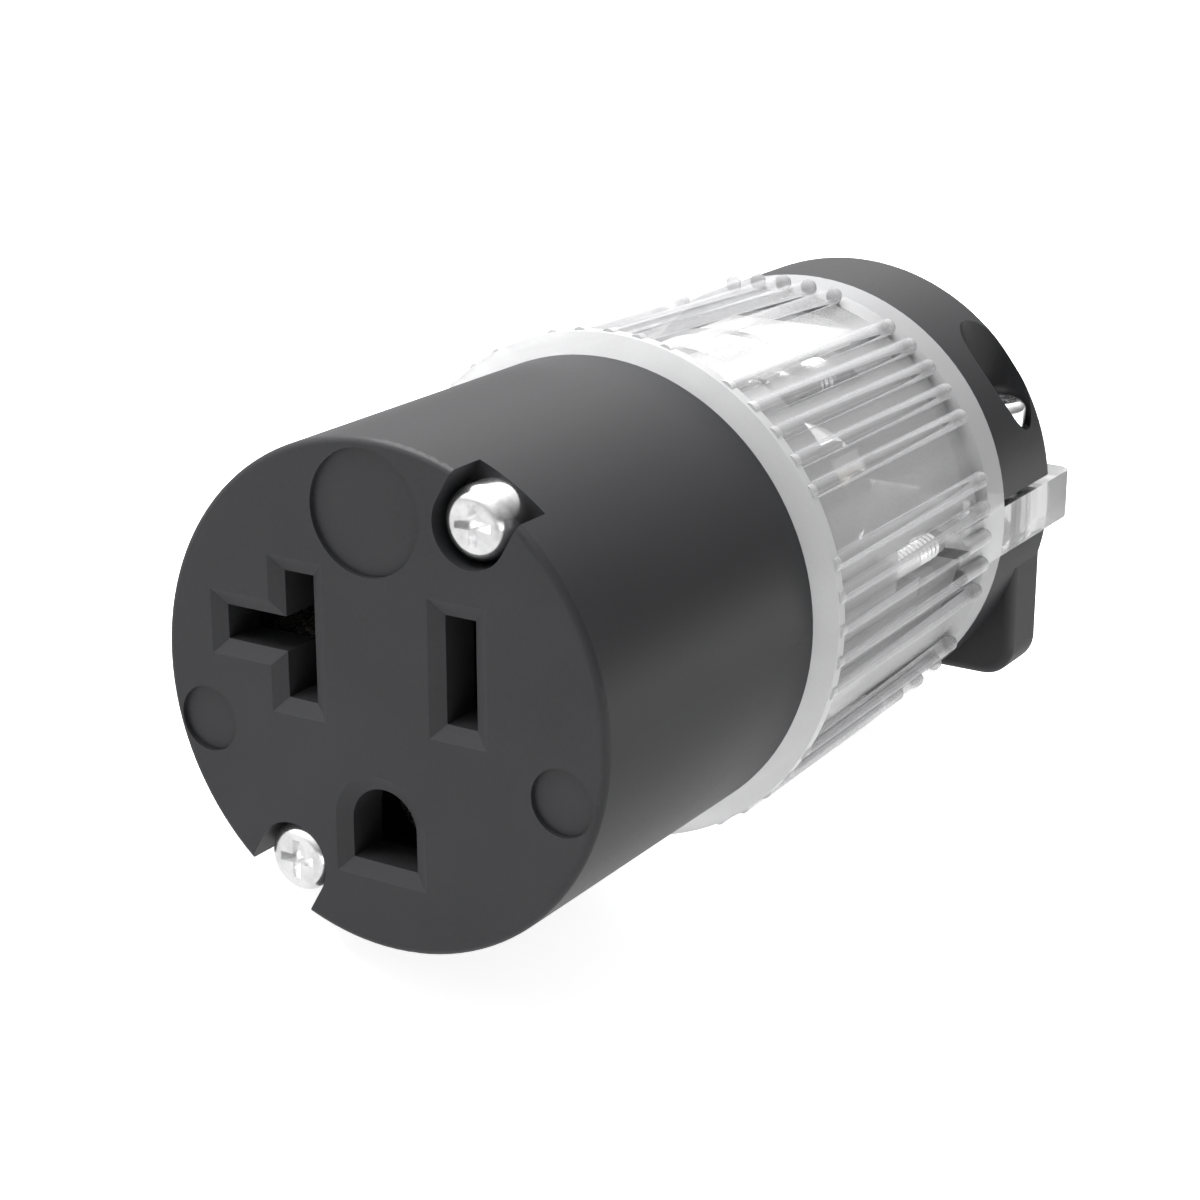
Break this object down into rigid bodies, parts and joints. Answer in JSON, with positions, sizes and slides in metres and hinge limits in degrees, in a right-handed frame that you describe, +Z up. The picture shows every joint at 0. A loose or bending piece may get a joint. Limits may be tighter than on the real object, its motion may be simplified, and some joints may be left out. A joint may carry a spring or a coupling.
{
  "type": "lighted cord connector",
  "caption": "Female in-line power cord connector: black socket face, clear ribbed housing with lamp and terminals inside, two-piece cord clamp.",
  "frame": {"origin": "centre of the flat socket face", "axes": "+Y runs along the connector's axis from the socket face to the cord end; +Z is up as it lies, on two ribs and a lower corner of the clamp, so the blade slots' side is turned 22.5 degrees from +Z towards -X; +X is to the right, seen from the socket face"},
  "size_m": [0.0396, 0.0725, 0.0383],
  "materials": {
    "black_nylon": "moulded, fine grain",
    "clear_polycarbonate": "clear, slightly hazy",
    "black_clamp": "moulded, satin",
    "zinc_screw": "zinc plated",
    "insert_plated": "nickel plated, knurled",
    "carrier_nylon": "moulded, satin",
    "contact_plated": "stamped, nickel plated",
    "clamp_plate": "nickel plated",
    "hot_screw": "turned, plated",
    "nickel_screw": "nickel plated",
    "green_screw": "green dyed zinc",
    "board_white": "white solder mask",
    "lamp_clear": "clear lens",
    "resistor_body": "lacquered",
    "lead_sleeve": "sleeved"
  },
  "bodies": {
    "root": {"front_body": "black_nylon", "clear_housing": "clear_polycarbonate", "upper_cord_clamp": "black_clamp", "lower_cord_clamp": "black_clamp", "clamp_screw_right": "zinc_screw", "clamp_screw_left": "zinc_screw", "clamp_insert_right": "insert_plated", "clamp_insert_left": "insert_plated", "assembly_screw_upper": "zinc_screw", "assembly_screw_lower": "zinc_screw", "screw_insert_upper": "insert_plated", "screw_insert_lower": "insert_plated", "contact_carrier": "carrier_nylon", "carrier_screw_right": "zinc_screw", "carrier_screw_left": "zinc_screw", "hot_contact": "contact_plated", "neutral_contact": "contact_plated", "ground_contact": "contact_plated", "hot_wire_clamp": "clamp_plate", "neutral_wire_clamp": "clamp_plate", "ground_wire_clamp": "clamp_plate", "hot_terminal_screw": "hot_screw", "neutral_terminal_screw": "nickel_screw", "ground_terminal_screw": "green_screw", "lamp_board": "board_white", "lamp": "lamp_clear", "dropping_resistor": "resistor_body", "hot_lamp_lead": "lead_sleeve", "neutral_lamp_lead": "lead_sleeve"}
  },
  "joints": []
}
